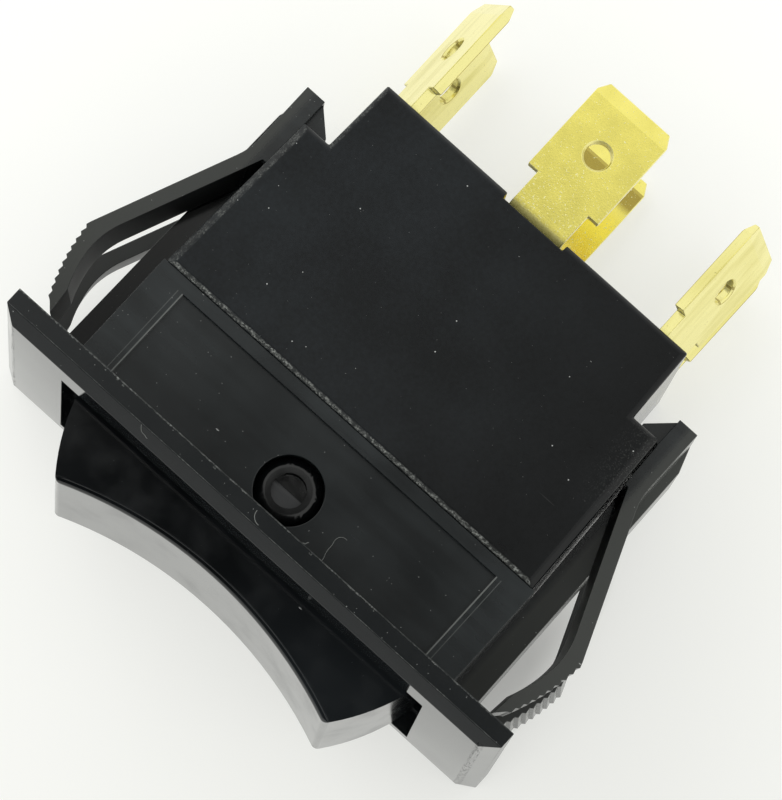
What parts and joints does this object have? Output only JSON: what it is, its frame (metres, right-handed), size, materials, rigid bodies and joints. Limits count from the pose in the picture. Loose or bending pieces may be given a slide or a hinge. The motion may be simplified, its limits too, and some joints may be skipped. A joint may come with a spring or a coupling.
{
  "type": "rocker switch",
  "caption": "Snap-in panel rocker switch with a dished rocker, sprung toothed arms, a moulded case and flat quick-connect tabs; see-saw contacts inside, centre off.",
  "frame": {"origin": "centre of the panel cutout, on the plane of the panel's front face, which is the rear face of the bezel", "axes": "+Z out of the panel towards the user, X along the long side of the bezel, the rocker tilts about an axis along Y, and the tabs point to -Z"},
  "size_m": [0.045, 0.0252, 0.0457],
  "materials": {
    "bracket": "satin black nylon",
    "rocker": "polished black",
    "case": "fine matt black",
    "terminal": "stamped brass, lightly speckled",
    "contact_strip": "plain rolled brass strip",
    "rivet": "plain",
    "contact": "silver alloy, dull",
    "plunger": "natural nylon",
    "spring": "bright spring wire"
  },
  "bodies": {
    "housing": {"bracket": "bracket", "case": "case", "terminal_near_centre": "terminal", "rivet_near": "rivet", "fulcrum_near": "contact_strip", "terminal_near_left": "terminal", "fixed_contact_near_left": "contact", "terminal_near_right": "terminal", "fixed_contact_near_right": "contact", "terminal_far_centre": "terminal", "rivet_far": "rivet", "fulcrum_far": "contact_strip", "terminal_far_left": "terminal", "fixed_contact_far_left": "contact", "terminal_far_right": "terminal", "fixed_contact_far_right": "contact"},
    "rocker": {"rocker": "rocker", "spring_near": "spring", "spring_far": "spring"},
    "plunger_near": {"plunger_near": "plunger"},
    "contact_arm_near": {"contact_arm_near": "contact_strip", "moving_contact_near_left": "contact", "moving_contact_near_right": "contact"},
    "plunger_far": {"plunger_far": "plunger"},
    "contact_arm_far": {"contact_arm_far": "contact_strip", "moving_contact_far_left": "contact", "moving_contact_far_right": "contact"}
  },
  "joints": [
    {"name": "rocker_tilt", "type": "hinge", "parent": "housing", "child": "rocker", "pos_m": [0, 0, -0.00245], "axis": [0, 1, 0], "range_deg": [-12, 12]},
    {"name": "contact_swing_near", "type": "hinge", "parent": "housing", "child": "contact_arm_near", "pos_m": [0, -0.00465, -0.02128], "axis": [0, 1, 0], "range_deg": [-8, 8]},
    {"name": "plunger_slide_near", "type": "slide", "parent": "rocker", "child": "plunger_near", "axis": [0, 0, 1], "range_m": [0, 0.0008], "stiffness_N_per_m": 100, "springref_m": -0.002, "deforming": ["spring_near"]},
    {"name": "contact_swing_far", "type": "hinge", "parent": "housing", "child": "contact_arm_far", "pos_m": [0, 0.00465, -0.02128], "axis": [0, 1, 0], "range_deg": [-8, 8]},
    {"name": "plunger_slide_far", "type": "slide", "parent": "rocker", "child": "plunger_far", "axis": [0, 0, 1], "range_m": [0, 0.0008], "stiffness_N_per_m": 100, "springref_m": -0.002, "deforming": ["spring_far"]}
  ],
  "couplings": [
    {"joint": "contact_swing_near", "follows": "rocker_tilt", "ratio": -0.66667},
    {"joint": "contact_swing_far", "follows": "rocker_tilt", "ratio": -0.66667}
  ]
}
